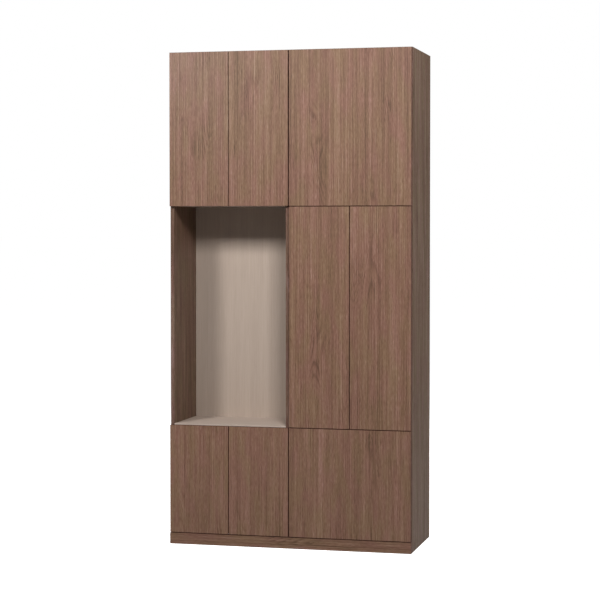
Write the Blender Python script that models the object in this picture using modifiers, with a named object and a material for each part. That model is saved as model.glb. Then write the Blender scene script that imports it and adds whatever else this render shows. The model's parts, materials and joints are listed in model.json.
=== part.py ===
"""Modular wardrobe: two tall units side by side, with eight handleless doors and an open niche.

Metres, +Z up, doors towards -Y, origin on the floor under the middle of the wardrobe.
"""

import math

import bpy
from mathutils import Matrix, Vector

# Overall sizes
WIDTH = 1.200
DEPTH = 0.500
HEIGHT = 2.400

# Boards
BOARD = 0.018
DOOR = 0.018
BACK = 0.006
EDGE_CHAMFER = 0.0006
FIT = 0.0003  # between pieces that touch

# Heights of the rows: the two seams are the middles of the gaps between doors
PLINTH_HEIGHT = 0.055
LOWER_SEAM = 0.585
UPPER_SEAM = 1.650
ROW_GAP = 0.003
PAIR_GAP = 0.003
EDGE_MARGIN = 0.002  # from a unit's outside face to its door's edge
TOP_MARGIN = 0.002
NICHE_LIP = 0.006  # niche floor above the doors below it
NICHE_CAVITY = 0.093  # behind the niche's back, to the unit's back panel
NICHE_HOUSING = 0.003  # depth of the groove in the niche floor that the niche's back stands in

# Back panels, held in grooves in the sides
BACK_INSET = 0.008
GROOVE = 0.006
BACK_TOP_MARGIN = 0.002

# Shelves and coat rail
SHELF_SETBACK = 0.020
UPPER_SHELF_RISE = 0.360
LOWER_SHELF_RISE = 0.245
RAIL_RADIUS = 0.0125
RAIL_WALL = 0.0015
RAIL_DROP = 0.060
FLANGE_RADIUS = 0.024
FLANGE = 0.005
RAIL_SIDES = 24

# Concealed hinges: distances in from the door's edge and back from its face
AXIS_INSET = 0.007
AXIS_DEPTH = 0.008
HINGE_INSET = 0.100
CUP_RADIUS = 0.0175
CUP_RIM = 0.003
CUP_DEPTH = 0.0135
CUP_SIDES = 40
EYE_RADIUS = 0.0025
PIN_RADIUS = 0.0015
PIN_SIDES = 12
HOOK = 0.002
HOOK_OFFSET = 0.0004
NECK = 0.003
NECK_OVERLAP = 0.006
ARM_SETBACK = 0.004
ARM_LENGTH = 0.058
ARM_HALF_HEIGHT = 0.0065
NECK_HALF_HEIGHT = 0.0060
EYE_HALF_HEIGHT = 0.0058
HOOK_HALF_HEIGHT = 0.0055
WING = 0.002
WING_LINE = 0.037  # screw line back from the carcass front
WING_HALF_DEPTH = 0.0065
WING_HALF_HEIGHT = 0.026

# Push latches, one at each door's free edge
LATCH_INSET = 0.024
LATCH_WIDTH = 0.016
LATCH_HEIGHT = 0.014
LATCH_LENGTH = 0.060
LATCH_SETBACK = 0.002
PLUNGER_RADIUS = 0.003
PLUNGER_LENGTH = 0.042
PLUNGER_SIDES = 16
TIP_RADIUS = 0.0045
TIP = 0.003

# Planes that the sizes give
FRONT = -DEPTH / 2
REAR = DEPTH / 2
CORNER_SWING = math.hypot(AXIS_INSET, DOOR - AXIS_DEPTH)
DOOR_BACK = FRONT + DOOR
CARCASS_FRONT = FRONT + AXIS_DEPTH + CORNER_SWING + FIT
BACK_FACE = REAR - BACK_INSET - BACK
NICHE_BACK_FACE = BACK_FACE - NICHE_CAVITY - BOARD
UNDERSIDE = PLINTH_HEIGHT
LOWER_DOOR_TOP = LOWER_SEAM - ROW_GAP / 2
UPPER_DOOR_BOTTOM = UPPER_SEAM + ROW_GAP / 2
NICHE_FLOOR_TOP = LOWER_DOOR_TOP + NICHE_LIP

# Units as (low x, high x), and door rows as (low z, high z)
UNITS = {"left": (-WIDTH / 2, -FIT / 2), "right": (FIT / 2, WIDTH / 2)}
ROWS = {
    "upper": (UPPER_DOOR_BOTTOM, HEIGHT - TOP_MARGIN),
    "tall": (LOWER_SEAM + ROW_GAP / 2, UPPER_SEAM - ROW_GAP / 2),
    "lower": (PLINTH_HEIGHT + ROW_GAP, LOWER_DOOR_TOP),
}

# Undersides of the boards that the push latches hang from, for each unit and row
LATCH_BOARDS = {
    ("left", "upper"): HEIGHT - BOARD,
    ("left", "lower"): NICHE_FLOOR_TOP - BOARD,
    ("right", "upper"): HEIGHT - BOARD,
    ("right", "tall"): UPPER_SEAM - BOARD / 2,
    ("right", "lower"): LOWER_SEAM - BOARD / 2,
}

# Doors as (name, unit, row, share of the unit, hinged side)
DOORS = (
    ("upper_left", "left", "upper", "left half", "left"),
    ("upper_middle", "left", "upper", "right half", "right"),
    ("upper_wide", "right", "upper", "whole", "right"),
    ("tall_left", "right", "tall", "left half", "left"),
    ("tall_right", "right", "tall", "right half", "right"),
    ("lower_left", "left", "lower", "left half", "left"),
    ("lower_middle", "left", "lower", "right half", "right"),
    ("lower_wide", "right", "lower", "whole", "right"),
)


def new_collection(name):
    collection = bpy.data.collections.new(name)
    bpy.context.scene.collection.children.link(collection)
    return collection


def linear(channel):
    """One sRGB channel, 0 to 255, as a linear value."""
    value = channel / 255
    return value / 12.92 if value <= 0.04045 else ((value + 0.055) / 1.055) ** 2.4


def new_material(name, hex_colour, roughness, metallic=0.0):
    red, green, blue = (linear(int(hex_colour[i : i + 2], 16)) for i in (0, 2, 4))
    material = bpy.data.materials.new(name)
    material.use_nodes = True
    shader = material.node_tree.nodes["Principled BSDF"]
    shader.inputs["Base Color"].default_value = (red, green, blue, 1)
    shader.inputs["Roughness"].default_value = roughness
    shader.inputs["Metallic"].default_value = metallic
    return material


def move_to(collection, shape):
    for old in shape.users_collection:
        old.objects.unlink(shape)
    collection.objects.link(shape)


def box(name, low, high, origin=None):
    """A box between two corners, in any order, with its origin at its middle or at a given point."""
    low, high = Vector(low), Vector(high)
    middle = (low + high) / 2
    origin = middle if origin is None else Vector(origin)
    size = [abs(a - b) for a, b in zip(low, high)]
    bpy.ops.mesh.primitive_cube_add(size=1, location=origin)
    shape = bpy.context.object
    shape.data.transform(Matrix.Translation(middle - origin) @ Matrix.Diagonal((*size, 1)))
    shape.name = name
    return shape


def rod(name, start, end, radius, sides):
    """A round rod between two points."""
    start, end = Vector(start), Vector(end)
    along = end - start
    bpy.ops.mesh.primitive_cylinder_add(vertices=sides, radius=radius, depth=along.length)
    shape = bpy.context.object
    shape.data.transform(along.to_track_quat("Z", "Y").to_matrix().to_4x4())
    shape.location = (start + end) / 2
    shape.data.shade_smooth()
    shape.data.set_sharp_from_angle(angle=math.radians(40))
    shape.name = name
    return shape


def chamfer(shape):
    bevel = shape.modifiers.new("edges", "BEVEL")
    bevel.width = EDGE_CHAMFER
    bevel.segments = 1
    return shape


def combine(shape, tool, operation):
    """Cut or join one shape with another, which stays as a hidden helper."""
    boolean = shape.modifiers.new(tool.name, "BOOLEAN")
    boolean.operation = operation
    boolean.object = tool
    tool.hide_render = True
    tool.display_type = "WIRE"
    move_to(cutters, tool)


def add_part(shape, material):
    shape.data.materials.clear()
    shape.data.materials.append(material)
    move_to(parts, shape)
    return shape


def inner_faces(unit):
    low, high = UNITS[unit]
    return low + BOARD, high - BOARD


def side_panel(name, unit, inwards):
    """A full-height side, grooved on its inner face for the back panel; inwards is +1 or -1 along X."""
    low, high = UNITS[unit]
    outer_face = low if inwards > 0 else high
    inner_face = outer_face + inwards * BOARD
    panel = chamfer(box(name, (outer_face, CARCASS_FRONT, 0), (inner_face, REAR, HEIGHT)))
    groove = box(
        name + "_groove",
        (inner_face - inwards * (GROOVE + FIT), BACK_FACE - FIT, -BOARD),
        (inner_face + inwards * BOARD, BACK_FACE + BACK + FIT, HEIGHT + BOARD),
    )
    combine(panel, groove, "DIFFERENCE")
    add_part(panel, walnut)


def cross_board(name, unit, top, front=CARCASS_FRONT):
    """A horizontal board between a unit's two sides, in front of its back panel."""
    low, high = inner_faces(unit)
    board = box(name, (low + FIT, front, top - BOARD), (high - FIT, BACK_FACE - FIT, top))
    return add_part(chamfer(board), linen)


def back_panel(name, unit):
    low, high = inner_faces(unit)
    panel = box(
        name,
        (low - GROOVE, BACK_FACE, UNDERSIDE),
        (high + GROOVE, BACK_FACE + BACK, HEIGHT - BACK_TOP_MARGIN),
    )
    add_part(panel, linen)


def niche_back(floor):
    """A board between the left unit's sides, standing in a groove across the niche floor."""
    low, high = inner_faces("left")
    foot = NICHE_FLOOR_TOP - NICHE_HOUSING
    groove = box(
        "niche_floor_groove",
        (low - BOARD, NICHE_BACK_FACE - FIT, foot),
        (high + BOARD, NICHE_BACK_FACE + BOARD + FIT, NICHE_FLOOR_TOP + BOARD),
    )
    combine(floor, groove, "DIFFERENCE")
    board = box(
        "niche_back",
        (low + FIT, NICHE_BACK_FACE, foot + FIT),
        (high - FIT, NICHE_BACK_FACE + BOARD, UPPER_DOOR_BOTTOM - FIT),
    )
    add_part(board, linen)


def plinth():
    board = box(
        "plinth_front",
        (-WIDTH / 2, CARCASS_FRONT - FIT - BOARD, 0),
        (WIDTH / 2, CARCASS_FRONT - FIT, PLINTH_HEIGHT),
    )
    add_part(chamfer(board), walnut)


def coat_rail():
    """A round tube across the tall compartment, with a flange at each side panel."""
    low, high = inner_faces("right")
    middle = (CARCASS_FRONT + BACK_FACE) / 2
    level = UPPER_SEAM - BOARD / 2 - RAIL_DROP
    ends = (low + FIT, middle, level), (high - FIT, middle, level)
    rail = rod("coat_rail", *ends, RAIL_RADIUS, RAIL_SIDES)
    for end, inwards in zip(ends, (1, -1)):
        inner_end = Vector(end) + Vector((inwards * FLANGE, 0, 0))
        combine(rail, rod("rail_flange", end, inner_end, FLANGE_RADIUS, RAIL_SIDES), "UNION")
    bore_ends = (low - BOARD, middle, level), (high + BOARD, middle, level)
    bore = rod("rail_bore", *bore_ends, RAIL_RADIUS - RAIL_WALL, RAIL_SIDES)
    combine(rail, bore, "DIFFERENCE")
    add_part(rail, chrome)


def door_span(unit, share):
    """Low and high x of a door that covers a half or the whole of a unit."""
    low, high = UNITS[unit]
    middle = (low + high) / 2
    left = middle + PAIR_GAP / 2 if share == "right half" else low + EDGE_MARGIN
    right = middle - PAIR_GAP / 2 if share == "left half" else high - EDGE_MARGIN
    return left, right


def hinge_heights(row):
    low, high = ROWS[row]
    return {"bottom": low + HINGE_INSET, "top": high - HINGE_INSET}


def door(name, unit, row, share, side):
    """A door with its two cup bores; its origin is on its hinge axis."""
    left, right = door_span(unit, share)
    low, high = ROWS[row]
    edge, inwards = (left, 1) if side == "left" else (right, -1)
    axis = (edge + inwards * AXIS_INSET, FRONT + AXIS_DEPTH, (low + high) / 2)
    leaf = chamfer(box(name + "_door", (left, FRONT, low), (right, DOOR_BACK, high), axis))
    cup_x = edge + inwards * (CUP_RIM + CUP_RADIUS)
    for place, level in hinge_heights(row).items():
        start = (cup_x, DOOR_BACK - CUP_DEPTH, level)
        end = (cup_x, DOOR_BACK + DOOR, level)
        cup = rod(f"{name}_{place}_cup", start, end, CUP_RADIUS, CUP_SIDES)
        combine(leaf, cup, "DIFFERENCE")
    add_part(leaf, walnut)
    for place, level in hinge_heights(row).items():
        hinge_arm(f"{name}_{place}_hinge", edge, inwards, level)


def hinge_arm(name, edge, inwards, level):
    """The fixed half of a concealed hinge: arm and wings on the side panel, a hook into the cup, and the pin."""
    panel_face = BOARD - EDGE_MARGIN + FIT
    neck_inner = AXIS_INSET + CORNER_SWING + FIT
    neck_outer = neck_inner + NECK
    carcass = CARCASS_FRONT - FRONT
    hook_back = AXIS_DEPTH - HOOK_OFFSET
    wing_middle = carcass + WING_LINE
    pin_reach = CUP_RIM + CUP_RADIUS - AXIS_INSET + PIN_RADIUS
    pin_half = math.sqrt((CUP_RADIUS - FIT) ** 2 - pin_reach**2)

    def place(inset, depth, rise):
        return edge + inwards * inset, FRONT + depth, level + rise

    def block(label, insets, depths, half_height):
        low = place(insets[0], depths[0], -half_height)
        high = place(insets[1], depths[1], half_height)
        return box(f"{name}{label}", low, high)

    def upright(label, radius, half_height):
        ends = (place(AXIS_INSET, AXIS_DEPTH, rise) for rise in (-half_height, half_height))
        return rod(f"{name}{label}", *ends, radius, PIN_SIDES)

    arm_depths = carcass + ARM_SETBACK, carcass + ARM_SETBACK + ARM_LENGTH
    wing_depths = wing_middle - WING_HALF_DEPTH, wing_middle + WING_HALF_DEPTH
    neck_depths = hook_back - HOOK, carcass + ARM_SETBACK + NECK_OVERLAP
    hook_depths = hook_back - HOOK, hook_back
    arm = block("", (panel_face, neck_outer), arm_depths, ARM_HALF_HEIGHT)
    pieces = (
        block("_wings", (panel_face, panel_face + WING), wing_depths, WING_HALF_HEIGHT),
        block("_neck", (neck_inner, neck_outer), neck_depths, NECK_HALF_HEIGHT),
        block("_hook", (AXIS_INSET, neck_inner + NECK / 2), hook_depths, HOOK_HALF_HEIGHT),
        upright("_eye", EYE_RADIUS, EYE_HALF_HEIGHT),
        upright("_pin", PIN_RADIUS, pin_half),
    )
    for piece in pieces:
        combine(arm, piece, "UNION")
    add_part(arm, nickel)


def push_latch(name, unit, row, share, side):
    """A housing under the board above the door, and the plunger that pushes the door open."""
    left, right = door_span(unit, share)
    middle = left + LATCH_INSET if side == "right" else right - LATCH_INSET
    if share == "whole":
        middle = inner_faces(unit)[0] + LATCH_INSET
    ceiling = LATCH_BOARDS[unit, row] - FIT
    level = ceiling - LATCH_HEIGHT / 2
    front = CARCASS_FRONT + LATCH_SETBACK
    half_width = LATCH_WIDTH / 2
    housing = box(
        name + "_latch",
        (middle - half_width, front, ceiling - LATCH_HEIGHT),
        (middle + half_width, front + LATCH_LENGTH, ceiling),
    )
    chamfer(housing)
    tip_front = DOOR_BACK + FIT
    plunger_end = tip_front + PLUNGER_LENGTH
    bore_ends = (middle, front - LATCH_SETBACK, level), (middle, plunger_end + FIT, level)
    bore = rod(name + "_latch_bore", *bore_ends, PLUNGER_RADIUS + FIT, PLUNGER_SIDES)
    combine(housing, bore, "DIFFERENCE")
    add_part(housing, grey_plastic)

    shaft_ends = (middle, tip_front + TIP / 2, level), (middle, plunger_end, level)
    shaft = rod(name + "_plunger", *shaft_ends, PLUNGER_RADIUS, PLUNGER_SIDES)
    tip_ends = (middle, tip_front, level), (middle, tip_front + TIP, level)
    combine(shaft, rod(name + "_tip", *tip_ends, TIP_RADIUS, PLUNGER_SIDES), "UNION")
    add_part(shaft, pale_plastic)


def units():
    side_panel("left_unit_outer_side", "left", 1)
    side_panel("left_unit_inner_side", "left", -1)
    side_panel("right_unit_inner_side", "right", 1)
    side_panel("right_unit_outer_side", "right", -1)
    for unit in UNITS:
        cross_board(unit + "_unit_top", unit, HEIGHT)
        cross_board(unit + "_unit_bottom", unit, UNDERSIDE + BOARD)
        back_panel(unit + "_unit_back", unit)
    cross_board("niche_ceiling", "left", UPPER_DOOR_BOTTOM + BOARD)
    niche_back(cross_board("niche_floor", "left", NICHE_FLOOR_TOP))
    cross_board("right_unit_upper_deck", "right", UPPER_SEAM + BOARD / 2)
    cross_board("right_unit_lower_deck", "right", LOWER_SEAM + BOARD / 2)


def shelves():
    front = CARCASS_FRONT + SHELF_SETBACK
    for unit in UNITS:
        cross_board(f"upper_{unit}_shelf", unit, UPPER_SEAM + UPPER_SHELF_RISE, front)
    cross_board("lower_right_shelf", "right", UNDERSIDE + BOARD + LOWER_SHELF_RISE, front)


for leftover in list(bpy.data.objects):
    bpy.data.objects.remove(leftover)

parts = new_collection("modular_wardrobe")
cutters = new_collection("cutters")
walnut = new_material("walnut", "7d6253", 0.55)
linen = new_material("linen", "b5a693", 0.65)
chrome = new_material("chrome", "c8c8c8", 0.15, 1.0)
nickel = new_material("nickel", "b4b1aa", 0.30, 1.0)
grey_plastic = new_material("grey_plastic", "9a9a98", 0.50)
pale_plastic = new_material("pale_plastic", "d8d7d2", 0.45)

units()
plinth()
shelves()
coat_rail()
for spec in DOORS:
    door(*spec)
    push_latch(*spec)
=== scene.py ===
"""Modular wardrobe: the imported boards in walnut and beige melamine, with hinges, latches, rail and pins.

Metres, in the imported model's frame: +Z up, doors towards -Y, origin on the floor under the middle.
"""

import json
import math

import bpy
from mathutils import Matrix, Vector


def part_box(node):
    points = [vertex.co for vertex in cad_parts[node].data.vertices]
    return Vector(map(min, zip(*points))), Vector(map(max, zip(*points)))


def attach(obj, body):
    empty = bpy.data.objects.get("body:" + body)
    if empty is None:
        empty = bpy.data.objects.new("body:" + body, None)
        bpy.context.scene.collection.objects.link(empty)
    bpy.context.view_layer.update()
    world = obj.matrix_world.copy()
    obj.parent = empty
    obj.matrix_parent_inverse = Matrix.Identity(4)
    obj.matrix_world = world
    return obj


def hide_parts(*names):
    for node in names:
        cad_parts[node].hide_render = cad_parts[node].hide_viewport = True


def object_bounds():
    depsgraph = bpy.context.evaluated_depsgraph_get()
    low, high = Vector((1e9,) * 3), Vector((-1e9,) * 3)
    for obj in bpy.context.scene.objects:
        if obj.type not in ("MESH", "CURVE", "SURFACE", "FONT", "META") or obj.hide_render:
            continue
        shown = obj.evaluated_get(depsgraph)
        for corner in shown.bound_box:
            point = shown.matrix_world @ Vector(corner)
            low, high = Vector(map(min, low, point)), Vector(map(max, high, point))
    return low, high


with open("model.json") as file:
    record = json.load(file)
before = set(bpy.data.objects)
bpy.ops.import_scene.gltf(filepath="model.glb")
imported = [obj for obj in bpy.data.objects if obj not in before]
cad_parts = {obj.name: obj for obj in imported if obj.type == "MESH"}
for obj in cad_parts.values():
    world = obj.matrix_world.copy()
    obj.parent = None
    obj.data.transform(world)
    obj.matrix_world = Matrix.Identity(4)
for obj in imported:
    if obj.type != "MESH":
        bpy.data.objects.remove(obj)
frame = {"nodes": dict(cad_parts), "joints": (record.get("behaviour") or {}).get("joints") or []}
cad_low, cad_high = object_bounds()


def nodes_ending(*endings):
    """The names of the CAD nodes that end in one of these."""
    return [name for name in frame["nodes"] if name.endswith(endings)]


MM = 0.001
RIGHT_ANGLE = math.radians(90)
LEFT, RIGHT = (-1, 0, 0), (1, 0, 0)
FRONT, REAR = (0, -1, 0), (0, 1, 0)
DOWN, UP = (0, 0, -1), (0, 0, 1)
MIRROR = Matrix.Scale(-1, 4, RIGHT)
BODY = "carcass"

# Places of the doors' hinge pins by the body that turns on each, the doors, and the boards by kind
HINGE_PINS = {j["child"]: Vector(j["pos_m"]) for j in frame["joints"] if j["type"] == "hinge"}
HINGE_LEVELS = ("bottom", "top")
DOORS = [body.removesuffix("_door") for body in HINGE_PINS]
SIDES = nodes_ending("_side")
NICHE_SIDE = "left_unit_outer_side"
UNIT_BACKS = nodes_ending("_unit_back")
SHELVES = nodes_ending("_shelf")
DECKS = nodes_ending("_unit_top", "_unit_bottom", "_deck", "_ceiling")

# Camera, from a fit to the photo's corners and seams. The photo's uprights are parallel. A small tilt keeps
# them so within a pixel, and needs less shift, so that views from other angles stay in the frame.
PICTURE = 600  # pixels across and down
FOCAL = 1787  # pixels
CENTRE_ROW = 279.3  # pixels from the picture's top to the lens axis
CAMERA_PLACE = (2.148, -8.548, 1.545)
CAMERA_TURN = math.radians(14.14)
CAMERA_TILT = math.radians(1.64)
SENSOR = 36  # millimetres

# Studio lamps as (place, target, width, height, power in watts). The two softboxes in front throw the soft
# shadows in the niche. The panels and the rear lamp light what faces away.
DOORS_AIM = (0, cad_low.y, 1.55)
CARCASS_MIDDLE = (cad_low + cad_high) / 2
LAMPS = {
    "left_softbox": ((-1.57, -2.95, 3.06), DOORS_AIM, 0.57, 0.59, 73),
    "right_softbox": ((1.15, -2.95, 3.06), DOORS_AIM, 0.62, 0.59, 80),
    "right_panel": ((3.5, 0.4, 4.2), CARCASS_MIDDLE, 2.0, 2.0, 75),
    "left_panel": ((-5.0, 0.6, 2.6), CARCASS_MIDDLE, 3.0, 3.0, 90),
    "rear_softbox": ((-1.5, 5.0, 3.5), CARCASS_MIDDLE, 3.0, 3.0, 150),
}
WHITE = (1, 1, 1, 1)
AMBIENT = 0.135  # light from the room all round
FLOOR_SIZE = 400
FLOOR_TONES = ("9c9c9c", "f3f3f3")  # what the floor throws back on the object, and what the camera sees
FLOOR_GLOW = 0.88  # the paper's own light; lamps and room add the rest, less in the object's shadow

# Walnut print as (width across, length along, strength), from broad bands to fibres and pores.
# Real fibres are under a millimetre wide; these are drawn as coarse as a pixel needs to show them.
WALNUT_FIBRES = (
    (16 * MM, 700 * MM, 0.20),
    (2.2 * MM, 800 * MM, 0.66),
    (2.0 * MM, 110 * MM, 0.55),
    (2.0 * MM, 24 * MM, 0.50),
)
WALNUT_GRAIN = ((60 * MM, 1800 * MM, 0.26), *WALNUT_FIBRES)
BANDED_GRAIN = ((32 * MM, 500 * MM, 0.50), *WALNUT_FIBRES)  # for the side panels, which are seen at a slant
WALNUT_TONES = ((0.15, "4d3728"), (0.42, "6a4d3d"), (0.58, "7d5e4c"), (0.85, "9b7f71"))
HUE_PATCH = (46 * MM, 170 * MM)
HUE_TONES = ((0.35, "fff8ff"), (0.65, "f9fff4"))  # over the print, from rosy to olive

# Flames: nested arches in a few places of the sheet
ARCH_SIZE = (105 * MM, 760 * MM)
ARCH_RINGS = 24
ARCH_SHARPNESS = 3
FLAME_SPOT = (90 * MM, 300 * MM)
FLAME_SHARE = (0.56, 0.72)  # of the spots' noise, from no flame to a full one
FLAME_STRENGTH = 0.22

# Beige print in the same form; boards that lie level are painted a little paler, as painted light from above
LINEN_GRAIN = (
    (40 * MM, 1200 * MM, 0.28),
    (7 * MM, 420 * MM, 0.30),
    (3.2 * MM, 90 * MM, 0.34),
)
LINEN_TONES = ((0.20, "a59588"), (0.50, "b0a093"), (0.80, "bbab9e"))
LEVEL_LIT_TONES = ((0.20, "ad9d91"), (0.50, "b8a89c"), (0.80, "c3b3a7"))

# Painted light over the walnut print as (faces, edges): dark edge bands, darkened further as painted shade
# for the gaps between doors, and side panels painted a little greyer as cool side light, with darker edges as
# painted shade
DOOR_PAINTED_GAP_SHADE = ("ffffff", "8a5a4a")
SIDE_PAINTED_LIGHT = ("f4ffff", "e6eeff")
END_LINE = cad_high.x - 3 * MM  # past it, a door's edges lie at the wardrobe's ends
END_GAP_SHADE = 0.65  # how much of the painted gap shade they keep there, where there is no gap
SAME_WAY = 0.5  # cosine of the widest angle at which a face looks a given way
FLAT = 0.9  # the same, with a board's chamfers left out

# Finish of the boards: gloss is the shader's specular level, and roughness is that of the darkest pores
DOOR_GLOSS = 0.22
SIDE_GLOSS = 0.008
NICHE_SIDE_GLOSS = 0.28
LINEN_GLOSS = 0.12
WALNUT_ROUGHNESS = 0.525
LINEN_ROUGHNESS = 0.775
EDGE_DULLNESS = 0.5

# Steps on the sheet from one board to the next, across the grain and along it, so that no two look alike
DOOR_STEP = (0.90, 0.31)
SIDE_STEP = (-0.83, 0.43)
PLINTH_SPOT = (0, 9, 0)

# Plated steel as (light tone, dark tone, roughness), and moulded plastic as (light tone, dark tone, grain)
NICKEL = ("c9c5bc", "b3aea4", 0.24)
CHROME = ("d8d8d6", "cbccca", 0.08)
POLISH_LINE = (0.6 * MM, 12 * MM)
GREY_ABS = ("9b9b98", "8e8e8b", 0.9 * MM)
WHITE_ACETAL = ("dcdbd5", "d0cfc8", 1.2 * MM)
PLASTIC_IOR = 1.53
PLASTIC_ROUGHNESS = 0.35
FINE_STOPS = (0.3, 0.7)  # of a fine pattern's noise, from the dark tone to the light one

# Relief of each finish as (roughness added from the pattern's dark to its light, bump strength, depth)
BOARD_RELIEF = (-0.15, 0.15, 0.10 * MM)
STEEL_RELIEF = (0.12, 0.10, 0.02 * MM)
PLASTIC_RELIEF = (0.20, 0.20, 0.05 * MM)

# Modelling: steps of rounded edges and corners, sides of round pieces, and limits for smooth, flat and merged
SOFT_STEPS = 2
CORNER_STEPS = 5
SMALL_SIDES = 24
CUP_SIDES = 48
RAIL_SIDES = 64
SMOOTH_ANGLE = math.radians(35)
FLAT_ANGLE = math.radians(1)
MERGE = 0.01 * MM
PARALLEL = 0.99

# Concealed hinge, laid out from the door's hinged edge (in), its front face (back) and its own level (up).
# Pin, panel face, reach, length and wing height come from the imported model.
DOOR_LOW, DOOR_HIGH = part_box("tall_left_door")
HINGE_LOW, HINGE_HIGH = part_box("tall_left_bottom_hinge")
PANEL_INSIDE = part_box("right_unit_inner_side")[1].x
BOARD_FIT = 0.3 * MM
HINGE_REACH = HINGE_HIGH.x - DOOR_LOW.x
HINGE_LENGTH = HINGE_HIGH.y - DOOR_LOW.y
PIN_IN = HINGE_PINS["tall_left_door"].x - DOOR_LOW.x
PIN_BACK = HINGE_PINS["tall_left_door"].y - DOOR_LOW.y
PIN_RADIUS = 1.5 * MM
PIN_HALF = 8.4 * MM
EYE_RADIUS = 2.5 * MM
EYE_HALF = 5.8 * MM
TIP_RADIUS = 0.6  # of the pin's radius
TIP_LENGTH = 0.4  # of the pin's radius
PANEL_FACE = PANEL_INSIDE + BOARD_FIT - DOOR_LOW.x
WING = 2 * MM
WING_HALF = (HINGE_HIGH.z - HINGE_LOW.z) / 2
WING_WIDTH = 13 * MM
WING_LINE = 57.5 * MM
WING_SCREW = 19 * MM
WING_EDGE = 0.4 * MM
WING_CORNER = 0.45 * WING_WIDTH
ARM_START = 24.5 * MM
ARM_HALF = 6.5 * MM
ARM_EDGE = 1 * MM
ARM_SCREWS = (40 * MM, 72 * MM)
NECK = 3 * MM
NECK_END = 30.5 * MM
NECK_HALF = 6 * MM
NECK_EDGE = 0.6 * MM
HOOK_FACE = 5.6 * MM
HOOK = 2 * MM
HOOK_HALF = 5.5 * MM
HOOK_EDGE = 0.4 * MM

# The hinge's cup in the door, with a flange and two ears on the door's rear
CUP_IN = 20.5 * MM
CUP_RADIUS = 17.35 * MM
CUP_WALL = 0.3 * MM
CUP_FACE = 4.7 * MM
CUP_FLOOR = 0.5 * MM
FOOT_RADIUS = CUP_RADIUS - 1 * MM
FOOT_RISE = 0.5 * MM
FLANGE_GAP = 0.05 * MM
DOOR_REAR = DOOR_HIGH.y - DOOR_LOW.y + FLANGE_GAP
FLANGE = 0.9 * MM
FLANGE_RADIUS = 18.4 * MM
FLANGE_RIM = 0.6 * FLANGE
FLANGE_EDGE = 0.5 * MM
EAR_HALF = 6.5 * MM
EAR_START = 16.9 * MM
EAR_END = 28.5 * MM
EAR_EDGE = 0.2 * MM
EAR_CORNER = 4 * MM
CUP_SCREW = 23 * MM

# Screw head: rings as shares of its radius (out, up), and its cross
SCREW_RADIUS = 3.6 * MM
SCREW_RINGS = ((1, 0), (1, 0.30), (0.86, 0.52), (0.50, 0.66))
CROSS_REACH = 0.55 * SCREW_RADIUS
CROSS_HALF = 0.11 * SCREW_RADIUS
CROSS_FLOOR = 0.30 * SCREW_RADIUS
CROSS_EDGE = 0.02 * SCREW_RADIUS

# Coat rail
RAIL_LOW, RAIL_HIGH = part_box("coat_rail")
RAIL_RADIUS = 12.5 * MM
RAIL_FILLET = 1 * MM
ROSE_RADIUS = (RAIL_HIGH.z - RAIL_LOW.z) / 2
ROSE = 5 * MM
ROSE_EDGE = 2 * MM
ROSE_SCREW = 18 * MM

# Shelf pin: rings as shares of its radius (out) and of its length (up)
SHELF_PIN_RADIUS = 2.5 * MM
SHELF_PIN_LENGTH = 9 * MM
SHELF_PIN_INSET = 55 * MM
SHELF_PIN_RINGS = (
    (1, 0),
    (1, 0.70),
    (0.82, 0.74),
    (0.82, 0.80),
    (1, 0.84),
    (1, 0.94),
    (0.70, 1),
)

# Push latches
LATCH_EDGE = 0.5 * MM
PLUNGER_EDGE = 0.4 * MM
LATCH_SCREWS = {"front": 16 * MM, "rear": 50 * MM}


# Nodes and materials


def linear(colour):
    """An sRGB hex colour as a linear RGBA tuple."""
    channels = [int(colour[i : i + 2], 16) / 255 for i in (0, 2, 4)]
    return (*((c / 12.92 if c <= 0.04045 else ((c + 0.055) / 1.055) ** 2.4) for c in channels), 1)


def add(tree, kind, inputs=None, stops=(), **settings):
    """A node with its settings, its inputs as values or links from other nodes, and a ramp's colour stops."""
    node = tree.nodes.new(kind)
    for name, value in settings.items():
        setattr(node, name, value)
    for name, value in (inputs or {}).items():
        if isinstance(value, bpy.types.Node):
            value = value.outputs[0]
        if isinstance(value, bpy.types.NodeSocket):
            tree.links.new(value, node.inputs[name])
        else:
            node.inputs[name].default_value = value
    for _ in stops[2:]:
        node.color_ramp.elements.new(0.5)
    for count, (spot, colour) in enumerate(stops):
        node.color_ramp.elements[count].position = spot
        node.color_ramp.elements[count].color = linear(colour)
    return node


def new_material(name, **constants):
    """A material, its nodes and its shader, with the shader's constants set."""
    material = bpy.data.materials.new(name)
    material.use_nodes = True
    shader = material.node_tree.nodes["Principled BSDF"]
    for socket, value in constants.items():
        shader.inputs[socket.replace("_", " ")].default_value = value
    return material, material.node_tree, shader


def facing(tree, direction, least=SAME_WAY):
    """1 on the faces that look a given way, 0 elsewhere; least is the cosine of the widest angle."""
    normal = add(tree, "ShaderNodeTexCoord").outputs["Normal"]
    along = add(tree, "ShaderNodeVectorMath", {0: normal, 1: direction}, operation="DOT_PRODUCT")
    return add(tree, "ShaderNodeMath", {0: along.outputs["Value"], 1: least}, operation="GREATER_THAN")


def edges(tree, front, rear):
    """1 on a board's edges and chamfers, 0 on the two faces that look the given ways."""
    looks = {0: facing(tree, front, FLAT), 1: facing(tree, rear, FLAT)}
    faces = add(tree, "ShaderNodeMath", looks, operation="ADD")
    return add(tree, "ShaderNodeMath", {0: 1.0, 1: faces}, operation="SUBTRACT")


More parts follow.
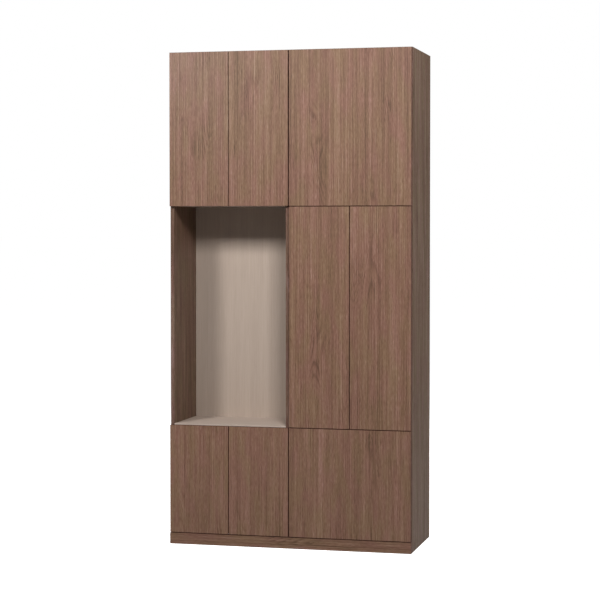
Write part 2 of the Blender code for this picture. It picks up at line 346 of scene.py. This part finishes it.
def door_edges(tree):
    """The edges of a door or of the plinth, which take the painted gap shade; fainter at the wardrobe's ends,
    where there is no gap.
    """
    place = add(tree, "ShaderNodeTexCoord").outputs["Object"]
    across = add(tree, "ShaderNodeSeparateXYZ", {"Vector": place}).outputs["X"]
    reach = add(tree, "ShaderNodeMath", {0: across}, operation="ABSOLUTE")
    end = add(tree, "ShaderNodeMath", {0: reach, 1: END_LINE}, operation="GREATER_THAN")
    share = add(tree, "ShaderNodeMath", {0: end, 1: END_GAP_SHADE - 1, 2: 1.0}, operation="MULTIPLY_ADD")
    return add(tree, "ShaderNodeMath", {0: edges(tree, FRONT, REAR), 1: share}, operation="MULTIPLY")


def side_edges(tree):
    """The edges of a side panel, all round."""
    return edges(tree, LEFT, RIGHT)


def grain_place(tree, sheet_spot, along):
    """Object coordinates from a spot of the sheet, with the grain along Z or X.

    The end edges of an upright board get a band with its grain along X. On the mix node, inputs 4 and 5 and
    output 1 are the vectors.
    """
    place = add(tree, "ShaderNodeTexCoord").outputs["Object"]
    laid = {"Vector": place, "Location": sheet_spot}
    level = add(tree, "ShaderNodeMapping", {**laid, "Rotation": (0, RIGHT_ANGLE, 0)})
    if along == "X":
        return level
    upright = add(tree, "ShaderNodeMapping", laid)
    ends = add(tree, "ShaderNodeMath", {0: facing(tree, UP), 1: facing(tree, DOWN)}, operation="ADD")
    mixed = add(tree, "ShaderNodeMix", {"Factor": ends, 4: upright, 5: level}, data_type="VECTOR")
    return mixed.outputs[1]


def drawn_out(tree, place, across, length):
    """Noise drawn out along the grain."""
    scale = (1 / across, 1 / across, 1 / length)
    stretched = add(tree, "ShaderNodeMapping", {"Vector": place, "Scale": scale})
    return add(tree, "ShaderNodeTexNoise", {"Vector": stretched, "Scale": 1, "Detail": 1})


def grain_shade(tree, place, layers):
    """Layers of drawn-out noise, added up around one half."""
    shade = 0.5 - sum(strength for *_, strength in layers) / 2
    for across, length, strength in layers:
        noise = drawn_out(tree, place, across, length)
        shade = add(tree, "ShaderNodeMath", {0: noise, 1: strength, 2: shade}, operation="MULTIPLY_ADD")
    return shade


def flames(tree, place, shade):
    """The shade with nested arches in a few places, broken up by the fibres."""
    field = drawn_out(tree, place, *ARCH_SIZE)
    rings = add(tree, "ShaderNodeMath", {0: field, 1: ARCH_RINGS, 2: shade}, operation="MULTIPLY_ADD")
    turn = add(tree, "ShaderNodeMath", {0: rings, 1: math.tau}, operation="MULTIPLY")
    wave = add(tree, "ShaderNodeMath", {0: turn}, operation="SINE")
    half = add(tree, "ShaderNodeMath", {0: wave, 1: 0.5, 2: 0.5}, operation="MULTIPLY_ADD")
    arches = add(tree, "ShaderNodeMath", {0: half, 1: ARCH_SHARPNESS}, operation="POWER")
    least, most = FLAME_SHARE
    noise = drawn_out(tree, place, *FLAME_SPOT)
    reach = {"From Min": least, "From Max": most, "To Max": -FLAME_STRENGTH}
    spots = add(tree, "ShaderNodeMapRange", {"Value": noise, **reach})
    return add(tree, "ShaderNodeMath", {0: arches, 1: spots, 2: shade}, operation="MULTIPLY_ADD")


def walnut_print(tree, place, grain):
    """The walnut paper's colour and its shade: fibres, flames, and rosy and olive streaks."""
    shade = flames(tree, place, grain_shade(tree, place, grain))
    tint = add(tree, "ShaderNodeValToRGB", {"Fac": drawn_out(tree, place, *HUE_PATCH)}, HUE_TONES)
    brown = add(tree, "ShaderNodeValToRGB", {"Fac": shade}, WALNUT_TONES)
    return add(tree, "ShaderNodeVectorMath", {0: brown, 1: tint}, operation="MULTIPLY"), shade


def finish(tree, shader, colour, pattern, roughness, relief):
    """Colour on the shader, and a pattern that is felt in the gloss and as a shallow relief."""
    spread, strength, depth = relief
    dull = add(tree, "ShaderNodeMath", {0: pattern, 1: spread, 2: roughness}, operation="MULTIPLY_ADD")
    bump = add(tree, "ShaderNodeBump", {"Height": pattern, "Strength": strength, "Distance": depth})
    for socket, node in (("Base Color", colour), ("Roughness", dull), ("Normal", bump)):
        tree.links.new(node.outputs[0], shader.inputs[socket])


def walnut_melamine(name, sheet_spot, along, gloss, grain, edge_mask, painted_light):
    """Walnut-print melamine: matt paper under resin, straight fibres, a few flames, and dull edge bands, with
    painted light and shade over faces and edges.
    """
    material, tree, shader = new_material("walnut_melamine_" + name, Specular_IOR_Level=gloss)
    colour, shade = walnut_print(tree, grain_place(tree, sheet_spot, along), grain)
    edge = edge_mask(tree)
    # Painted light: door edges darkened as painted shade for the gaps, side panels greyer as painted cool
    # light with darker edges.
    tone = add(tree, "ShaderNodeValToRGB", {"Fac": edge}, tuple(enumerate(painted_light)))
    painted_colour = add(tree, "ShaderNodeVectorMath", {0: colour, 1: tone}, operation="MULTIPLY")
    dulled = {0: edge, 1: EDGE_DULLNESS, 2: WALNUT_ROUGHNESS}
    roughness = add(tree, "ShaderNodeMath", dulled, operation="MULTIPLY_ADD")
    finish(tree, shader, painted_colour, shade, roughness, BOARD_RELIEF)
    return material


def door_walnut(name, sheet_spot, along="Z"):
    """The doors' and the plinth's walnut, satin with dark edge bands, darkened as painted shade for the gaps
    between doors.
    """
    return walnut_melamine(name, sheet_spot, along, DOOR_GLOSS, WALNUT_GRAIN, door_edges, DOOR_PAINTED_GAP_SHADE)


def side_walnut(name, sheet_spot):
    """The side panels' walnut, painted greyer as cool side light, and almost without gloss, apart from the
    panel beside the niche.
    """
    gloss = NICHE_SIDE_GLOSS if name == NICHE_SIDE else SIDE_GLOSS
    return walnut_melamine(name, sheet_spot, "Z", gloss, BANDED_GRAIN, side_edges, SIDE_PAINTED_LIGHT)


def linen_melamine(name, along="Z", walnut_edge=False):
    """Beige melamine with a faint drawn-out grain, matt; its front edge may have a walnut band."""
    material, tree, shader = new_material("linen_melamine_" + name, Specular_IOR_Level=LINEN_GLOSS)
    place = grain_place(tree, (0, 0, 0), along)
    shade = grain_shade(tree, place, LINEN_GRAIN)
    # Level boards take paler tones: painted light from above.
    stops = LINEN_TONES if along == "Z" else LEVEL_LIT_TONES
    colour = add(tree, "ShaderNodeValToRGB", {"Fac": shade}, stops)
    if walnut_edge:
        band, _ = walnut_print(tree, place, WALNUT_GRAIN)
        mix = {"Fac": facing(tree, FRONT), "Color1": colour, "Color2": band}
        colour = add(tree, "ShaderNodeMixRGB", mix)
    finish(tree, shader, colour, shade, LINEN_ROUGHNESS, BOARD_RELIEF)
    return material


def plated_steel(name, light, dark, roughness):
    """Plated steel: bright, with fine polishing lines and a faint cloud in its gloss."""
    material, tree, shader = new_material(name, Metallic=1.0)
    place = add(tree, "ShaderNodeTexCoord").outputs["Object"]
    lines = drawn_out(tree, place, *POLISH_LINE)
    colour = add(tree, "ShaderNodeValToRGB", {"Fac": lines}, tuple(zip(FINE_STOPS, (dark, light))))
    finish(tree, shader, colour, lines, roughness, STEEL_RELIEF)
    return material


def moulded_plastic(name, light, dark, grit):
    """Moulded plastic: an even, slightly grained skin, satin."""
    material, tree, shader = new_material(name, IOR=PLASTIC_IOR)
    place = add(tree, "ShaderNodeTexCoord").outputs["Object"]
    grain = add(tree, "ShaderNodeTexNoise", {"Vector": place, "Scale": 1 / grit, "Detail": 2})
    colour = add(tree, "ShaderNodeValToRGB", {"Fac": grain}, tuple(zip(FINE_STOPS, (dark, light))))
    finish(tree, shader, colour, grain, PLASTIC_ROUGHNESS, PLASTIC_RELIEF)
    return material


# Boards, camera and studio


def dress(node, material):
    """Puts a material on a CAD node."""
    slots = frame["nodes"][node].data.materials
    slots.clear()
    slots.append(material)


def boards():
    """Each board's finish; every door and side panel comes from a spot of its own on the sheet."""
    across, along = DOOR_STEP
    for count, door in enumerate(DOORS):
        dress(door + "_door", door_walnut(door, (0, across * (count + 1), along * count)))
    across, along = SIDE_STEP
    for count, side in enumerate(SIDES):
        dress(side, side_walnut(side, (0, across * (count + 1), along * count)))
    dress("plinth_front", door_walnut("plinth", PLINTH_SPOT, "X"))
    dress("niche_back", linen_melamine("niche_back"))
    back = linen_melamine("back")
    for node in UNIT_BACKS:
        dress(node, back)
    level = linen_melamine("level", "X")
    for node in (*SHELVES, "niche_floor"):
        dress(node, level)
    banded = linen_melamine("walnut_edge", "X", walnut_edge=True)
    for node in DECKS:
        dress(node, banded)


def camera():
    """The photo's view, from a little to the right."""
    upright = RIGHT_ANGLE - CAMERA_TILT
    bpy.ops.object.camera_add(location=CAMERA_PLACE, rotation=(upright, 0, CAMERA_TURN))
    eye = bpy.context.object
    eye.data.sensor_width = SENSOR
    eye.data.lens = FOCAL / PICTURE * SENSOR
    eye.data.shift_y = (CENTRE_ROW - PICTURE / 2) / PICTURE
    bpy.context.scene.camera = eye


def area_light(name, place, target, width, height, power):
    """A rectangular lamp that looks at its target."""
    bpy.ops.object.light_add(type="AREA", location=place)
    lamp = bpy.context.object
    lamp.name = name
    lamp.data.shape = "RECTANGLE"
    lamp.data.size = width
    lamp.data.size_y = height
    lamp.data.energy = power
    lamp.rotation_euler = (Vector(target) - lamp.location).to_track_quat("-Z", "Y").to_euler()


def backdrop_rays(tree):
    """1 for the rays that look at the backdrop: camera, glossy and transmission."""
    rays = add(tree, "ShaderNodeLightPath").outputs
    looks = {0: rays["Is Camera Ray"], 1: rays["Is Glossy Ray"]}
    seen = add(tree, "ShaderNodeMath", looks, operation="MAXIMUM")
    return add(tree, "ShaderNodeMath", {0: seen, 1: rays["Is Transmission Ray"]}, operation="MAXIMUM")


def studio_world():
    """A dim room for the light, white where it is looked at."""
    world = bpy.data.worlds.new("studio")
    world.use_nodes = True
    bpy.context.scene.world = world
    tree = world.node_tree
    tree.nodes.clear()
    room = add(tree, "ShaderNodeBackground", {"Color": WHITE, "Strength": AMBIENT})
    white = add(tree, "ShaderNodeBackground", {"Color": WHITE, "Strength": 1})
    mix = add(tree, "ShaderNodeMixShader", {0: backdrop_rays(tree), 1: room, 2: white})
    add(tree, "ShaderNodeOutputWorld", {"Surface": mix})


def studio_floor():
    """White paper floor: it glows white to the camera, and the lamps bring it up except under the object."""
    bpy.ops.mesh.primitive_plane_add(size=FLOOR_SIZE)
    floor = bpy.context.object
    floor.name = "floor"
    material = bpy.data.materials.new("white_paper")
    material.use_nodes = True
    tree = material.node_tree
    tree.nodes.clear()
    looking = backdrop_rays(tree)
    shade = add(tree, "ShaderNodeValToRGB", {"Fac": looking}, tuple(enumerate(FLOOR_TONES)))
    paper = add(tree, "ShaderNodeBsdfDiffuse", {"Color": shade})
    strength = add(tree, "ShaderNodeMath", {0: looking, 1: FLOOR_GLOW}, operation="MULTIPLY")
    glow = add(tree, "ShaderNodeEmission", {"Strength": strength})
    both = add(tree, "ShaderNodeAddShader", {0: paper, 1: glow})
    add(tree, "ShaderNodeOutputMaterial", {"Surface": both})
    floor.data.materials.append(material)


def studio():
    """Room, floor and lamps."""
    studio_world()
    studio_floor()
    for name, lamp in LAMPS.items():
        area_light(name, *lamp)


# Modelling


def edit_all():
    """Edit mode, with all of the active piece selected."""
    bpy.ops.object.mode_set(mode="EDIT")
    bpy.ops.mesh.select_all(action="SELECT")


def soften(piece, width):
    """Rounds a piece's sharp edges."""
    bpy.context.view_layer.objects.active = piece
    bevel = piece.modifiers.new("edges", "BEVEL")
    bevel.limit_method = "ANGLE"
    bevel.width = width
    bevel.segments = SOFT_STEPS
    bpy.ops.object.modifier_apply(modifier=bevel.name)


def round_corners(piece, axis, radius):
    """Rounds the edges that run along one axis."""
    bpy.ops.object.mode_set(mode="EDIT")
    bpy.ops.mesh.select_mode(type="EDGE")
    bpy.ops.mesh.select_all(action="DESELECT")
    bpy.ops.object.mode_set(mode="OBJECT")
    points = piece.data.vertices
    for edge in piece.data.edges:
        start, end = (points[i].co for i in edge.vertices)
        edge.select = abs((end - start).normalized()[axis]) > PARALLEL
    bpy.ops.object.mode_set(mode="EDIT")
    bpy.ops.mesh.bevel(offset=radius, segments=CORNER_STEPS, affect="EDGES")
    bpy.ops.object.mode_set(mode="OBJECT")


def block(low, high, edge, corner_axis=None, corner=0):
    """A box between two corners with softened edges, and wider corners about one axis."""
    low, high = Vector(low), Vector(high)
    bpy.ops.mesh.primitive_cube_add(size=1, location=(low + high) / 2)
    piece = bpy.context.object
    piece.scale = high - low
    bpy.ops.object.transform_apply()
    if corner_axis is not None:
        round_corners(piece, corner_axis, corner)
    soften(piece, edge)
    return piece


def turned(rings, sides):
    """A closed round piece about Z, from (radius, height) rings; the first and the last are filled."""
    radius, height = rings[0]
    start = (0, 0, height)
    bpy.ops.mesh.primitive_circle_add(vertices=sides, radius=radius, fill_type="NGON", location=start)
    piece = bpy.context.object
    bpy.ops.object.transform_apply()
    edit_all()
    for (radius, height), (last_radius, last_height) in zip(rings[1:], rings):
        scale = radius / last_radius
        bpy.ops.mesh.extrude_region_move(TRANSFORM_OT_translate={"value": (0, 0, height - last_height)})
        bpy.ops.transform.resize(value=(scale, scale, 1), center_override=(0, 0, height))
    bpy.ops.mesh.select_all(action="SELECT")
    bpy.ops.mesh.normals_make_consistent(inside=False)
    bpy.ops.object.mode_set(mode="OBJECT")
    return piece


def move(piece, place, turn=None):
    """Moves a piece's mesh; turn is (degrees, axis)."""
    matrix = Matrix.Translation(place)
    if turn:
        matrix = matrix @ Matrix.Rotation(math.radians(turn[0]), 4, turn[1])
    piece.data.transform(matrix)
    return piece


def carve(piece, cutter):
    """Takes the cutter's shape out of a piece."""
    bpy.context.view_layer.objects.active = piece
    boolean = piece.modifiers.new("cut", "BOOLEAN")
    boolean.operation = "DIFFERENCE"
    boolean.object = cutter
    bpy.ops.object.modifier_apply(modifier=boolean.name)
    bpy.data.objects.remove(cutter)


def join(pieces, material):
    """One mesh of several pieces, smooth on its rounded faces."""
    bpy.ops.object.select_all(action="DESELECT")
    for piece in pieces:
        piece.select_set(True)
    bpy.context.view_layer.objects.active = pieces[0]
    if len(pieces) > 1:
        bpy.ops.object.join()
    bpy.ops.object.shade_smooth_by_angle(angle=SMOOTH_ANGLE)
    pieces[0].data.materials.clear()
    pieces[0].data.materials.append(material)
    return pieces[0]


def standing(place, mirrored=False):
    """The matrix that takes a piece to a place, mirrored for the pieces that belong on the right."""
    spot = Matrix.Translation(place)
    return spot @ MIRROR if mirrored else spot


def copy_of(piece, name, matrix):
    """A copy with its own mesh, moved there; a mirrored one has its faces turned out again."""
    copy = bpy.data.objects.new(name, piece.data.copy())
    bpy.context.collection.objects.link(copy)
    copy.data.transform(matrix)
    if matrix.determinant() < 0:
        copy.data.flip_normals()
    return copy


def softened(node, name, edge, material):
    """A CAD node's shape with its edges rounded."""
    piece = bpy.data.objects.new(name, frame["nodes"][node].data.copy())
    bpy.context.collection.objects.link(piece)
    bpy.ops.object.select_all(action="DESELECT")
    piece.select_set(True)
    bpy.context.view_layer.objects.active = piece
    edit_all()
    bpy.ops.mesh.remove_doubles(threshold=MERGE)
    bpy.ops.mesh.dissolve_limited(angle_limit=FLAT_ANGLE)
    bpy.ops.object.mode_set(mode="OBJECT")
    soften(piece, edge)
    edit_all()
    bpy.ops.mesh.dissolve_degenerate(threshold=MERGE)
    bpy.ops.object.mode_set(mode="OBJECT")
    return join([piece], material)


def fit(piece, body, slot, *nodes):
    """Puts a finished piece on its body and hides the nodes that it stands for; slot is not used."""
    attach(piece, body)
    if nodes:
        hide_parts(*nodes)


# Fittings


def screw_head(place, turn):
    """A pan head with a cross recess, facing along the turned Z."""
    head = turned([(out * SCREW_RADIUS, up * SCREW_RADIUS) for out, up in SCREW_RINGS], SMALL_SIDES)
    for across, along in ((CROSS_REACH, CROSS_HALF), (CROSS_HALF, CROSS_REACH)):
        slot = block((-across, -along, CROSS_FLOOR), (across, along, SCREW_RADIUS), CROSS_EDGE)
        carve(head, slot)
    return move(head, place, turn)


def hinge_pin(radius, half):
    """A pin on the hinge's axis with rounded ends."""
    tip_radius, tip = TIP_RADIUS * radius, TIP_LENGTH * radius
    rings = [(tip_radius, -half), (radius, tip - half), (radius, half - tip), (tip_radius, half)]
    return move(turned(rings, SMALL_SIDES), (PIN_IN, PIN_BACK, 0))


def hinge_arm(material):
    """The fixed half of a hinge: wings and arm on the panel, neck and hook into the cup, pin and screws."""
    wing_low = (PANEL_FACE, WING_LINE - WING_WIDTH / 2, -WING_HALF)
    wing_high = (PANEL_FACE + WING, WING_LINE + WING_WIDTH / 2, WING_HALF)
    arm_low = (PANEL_FACE, ARM_START, -ARM_HALF)
    neck_low = (HINGE_REACH - NECK, HOOK_FACE, -NECK_HALF)
    hook_high = (HINGE_REACH - NECK / 2, HOOK_FACE + HOOK, HOOK_HALF)
    pieces = [
        block(arm_low, (HINGE_REACH, HINGE_LENGTH, ARM_HALF), ARM_EDGE),
        block(wing_low, wing_high, WING_EDGE, 0, WING_CORNER),
        block(neck_low, (HINGE_REACH, NECK_END, NECK_HALF), NECK_EDGE),
        block((PIN_IN, HOOK_FACE, -HOOK_HALF), hook_high, HOOK_EDGE),
        hinge_pin(EYE_RADIUS, EYE_HALF),
        hinge_pin(PIN_RADIUS, PIN_HALF),
    ]
    for rise in (-WING_SCREW, WING_SCREW):
        pieces.append(screw_head((PANEL_FACE + WING, WING_LINE, rise), (90, "Y")))
    for back in ARM_SCREWS:
        pieces.append(screw_head((HINGE_REACH, back, 0), (90, "Y")))
    return join(pieces, material)


def hinge_cup(material):
    """The cup let into the door: a thin pressed bowl with a ring, two ears and their screws."""
    inner = CUP_RADIUS - CUP_WALL
    flange_face = DOOR_REAR + FLANGE
    bowl_rings = [
        (FOOT_RADIUS, CUP_FACE),
        (CUP_RADIUS, CUP_FACE + FOOT_RISE),
        (CUP_RADIUS, DOOR_REAR),
        (FLANGE_RADIUS, DOOR_REAR),
        (FLANGE_RADIUS, DOOR_REAR + FLANGE_RIM),
        (FLANGE_RADIUS - FLANGE_EDGE, flange_face),
        (inner, flange_face),
        (inner, CUP_FACE + CUP_FLOOR),
    ]
    pieces = [move(turned(bowl_rings, CUP_SIDES), (CUP_IN, 0, 0), (-90, "X"))]
    for side in (-1, 1):
        bottom_end, top_end = sorted((side * EAR_START, side * EAR_END))
        low = (CUP_IN - EAR_HALF, DOOR_REAR, bottom_end)
        high = (CUP_IN + EAR_HALF, flange_face, top_end)
        pieces.append(block(low, high, EAR_EDGE, 1, EAR_CORNER))
        pieces.append(screw_head((CUP_IN, flange_face, side * CUP_SCREW), (-90, "X")))
    return join(pieces, material)


def hinges(material):
    """For each packed hinge, an arm on the carcass and a cup in the door."""
    arm, cup = hinge_arm(material), hinge_cup(material)
    for body, pin in HINGE_PINS.items():
        low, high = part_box(body)
        right_hung = pin.x >= (low.x + high.x) / 2
        edge = high.x if right_hung else low.x
        for place in HINGE_LEVELS:
            node = f"{body.removesuffix('_door')}_{place}_hinge"
            level = sum(corner.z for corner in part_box(node)) / 2
            spot = standing((edge, low.y, level), right_hung)
            fit(copy_of(arm, node + "_arm", spot), BODY, "hinge_metal", node)
            fit(copy_of(cup, node + "_cup", spot), body, "hinge_metal")
    bpy.data.objects.remove(arm)
    bpy.data.objects.remove(cup)


def coat_rail(material):
    """A round tube between two turned roses, each screwed to a side panel."""
    length = RAIL_HIGH.x - RAIL_LOW.x
    end = [
        (ROSE_RADIUS, 0),
        (ROSE_RADIUS, ROSE - ROSE_EDGE),
        (ROSE_RADIUS - ROSE_EDGE, ROSE),
        (RAIL_RADIUS + RAIL_FILLET, ROSE),
        (RAIL_RADIUS, ROSE + RAIL_FILLET),
    ]
    rings = end + [(radius, length - height) for radius, height in reversed(end)]
    middle = (RAIL_LOW + RAIL_HIGH) / 2
    pieces = [move(turned(rings, RAIL_SIDES), (RAIL_LOW.x, middle.y, middle.z), (90, "Y"))]
    for face, turn in ((RAIL_LOW.x + ROSE, 90), (RAIL_HIGH.x - ROSE, -90)):
        for rise in (-ROSE_SCREW, ROSE_SCREW):
            pieces.append(screw_head((face, middle.y, middle.z + rise), (turn, "Y")))
    rail = join(pieces, material)
    rail.name = "turned_coat_rail"
    fit(rail, BODY, "rail_metal", "coat_rail")


def shelf_pins(material):
    """Four pins under each shelf, standing out of the side panels."""
    rings = [(out * SHELF_PIN_RADIUS, up * SHELF_PIN_LENGTH) for out, up in SHELF_PIN_RINGS]
    peg = join([move(turned(rings, SMALL_SIDES), (0, 0, -SHELF_PIN_RADIUS), (90, "Y"))], material)
    for shelf in SHELVES:
        low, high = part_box(shelf)
        for hand, x in (("left", low.x - BOARD_FIT), ("right", high.x + BOARD_FIT)):
            for row, y in (("front", low.y + SHELF_PIN_INSET), ("rear", high.y - SHELF_PIN_INSET)):
                spot = standing((x, y, low.z), hand == "right")
                fit(copy_of(peg, f"{shelf}_{hand}_{row}_pin", spot), BODY, "hinge_metal")
    bpy.data.objects.remove(peg)


def latches(housing_material, plunger_material, screw_material):
    """Each packed latch and its plunger with rounded edges, and the two screws that hold the latch."""
    screw = join([screw_head((0, 0, 0), (180, "X"))], screw_material)
    for door in DOORS:
        housing = softened(door + "_latch", door + "_latch_housing", LATCH_EDGE, housing_material)
        fit(housing, BODY, "latch_housing", door + "_latch")
        low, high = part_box(door + "_latch")
        for row, back in LATCH_SCREWS.items():
            spot = standing(((low.x + high.x) / 2, low.y + back, low.z))
            fit(copy_of(screw, f"{door}_latch_{row}_screw", spot), BODY, "hinge_metal")
        plunger = softened(door + "_plunger", door + "_latch_plunger", PLUNGER_EDGE, plunger_material)
        fit(plunger, door + "_plunger", "plunger", door + "_plunger")
    bpy.data.objects.remove(screw)


def fittings():
    """The metal and plastic pieces."""
    nickel = plated_steel("nickel_plated_steel", *NICKEL)
    chrome = plated_steel("chrome_plated_steel", *CHROME)
    housing = moulded_plastic("grey_abs", *GREY_ABS)
    plunger = moulded_plastic("white_acetal", *WHITE_ACETAL)
    hinges(nickel)
    coat_rail(chrome)
    shelf_pins(nickel)
    latches(housing, plunger, nickel)


bpy.context.scene.view_settings.view_transform = "Standard"
bpy.ops.object.select_all(action="DESELECT")
camera()
studio()
boards()
fittings()
